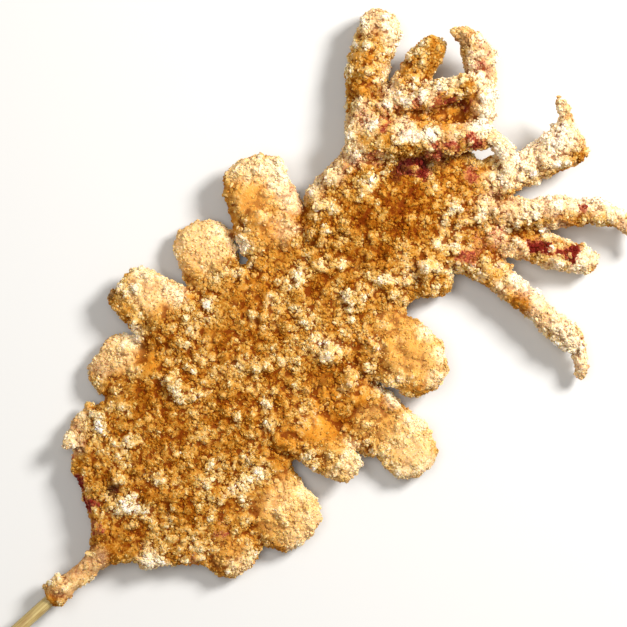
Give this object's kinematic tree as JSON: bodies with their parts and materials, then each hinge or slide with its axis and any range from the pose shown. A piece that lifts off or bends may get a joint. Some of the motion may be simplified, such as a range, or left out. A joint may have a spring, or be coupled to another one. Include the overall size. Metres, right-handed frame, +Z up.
{
  "type": "deep-fried squid on a skewer",
  "caption": "Whole squid, slit into tabs and splayed flat, deep-fried in a craggy golden starch crust on a long bamboo skewer.",
  "frame": {"origin": "middle of the bounding box's base, on the surface that the squid lies on", "axes": "+X along the skewer from the handle to the squid's arms, +Y across the mantle, +Z up through the crusted front"},
  "size_m": [0.3946, 0.167, 0.0259],
  "materials": {
    "fried_crust": "crisp granular fried starch crust, golden with cream crumbs, dark pinholes and pinkish skin showing through",
    "bamboo": "plain bamboo with fine lengthwise fibres"
  },
  "bodies": {
    "root": {"fried_squid": "fried_crust", "skewer": "bamboo"}
  },
  "joints": []
}
